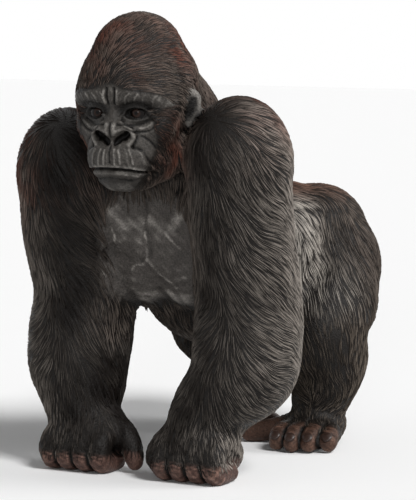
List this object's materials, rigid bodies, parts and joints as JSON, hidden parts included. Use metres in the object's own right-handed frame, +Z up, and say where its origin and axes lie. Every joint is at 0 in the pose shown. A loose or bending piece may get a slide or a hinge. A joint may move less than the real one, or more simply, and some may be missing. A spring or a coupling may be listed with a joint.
{
  "type": "gorilla figurine",
  "caption": "Silverback gorilla standing on its knuckles, a solid cast figurine with carved face, hands, feet and coat, that stands freely on four limbs.",
  "frame": {"origin": "on the ground, under the middle of the figure's bounding box", "axes": "+Z up, -Y the way the gorilla looks, +X to its left"},
  "size_m": [0.248, 0.3504, 0.3702],
  "materials": {
    "painted_resin": "hand-painted cast polyresin, near-black fur dry-brushed in warm grey and rust, satin matt"
  },
  "bodies": {
    "root": {"gorilla": "painted_resin"}
  },
  "joints": []
}
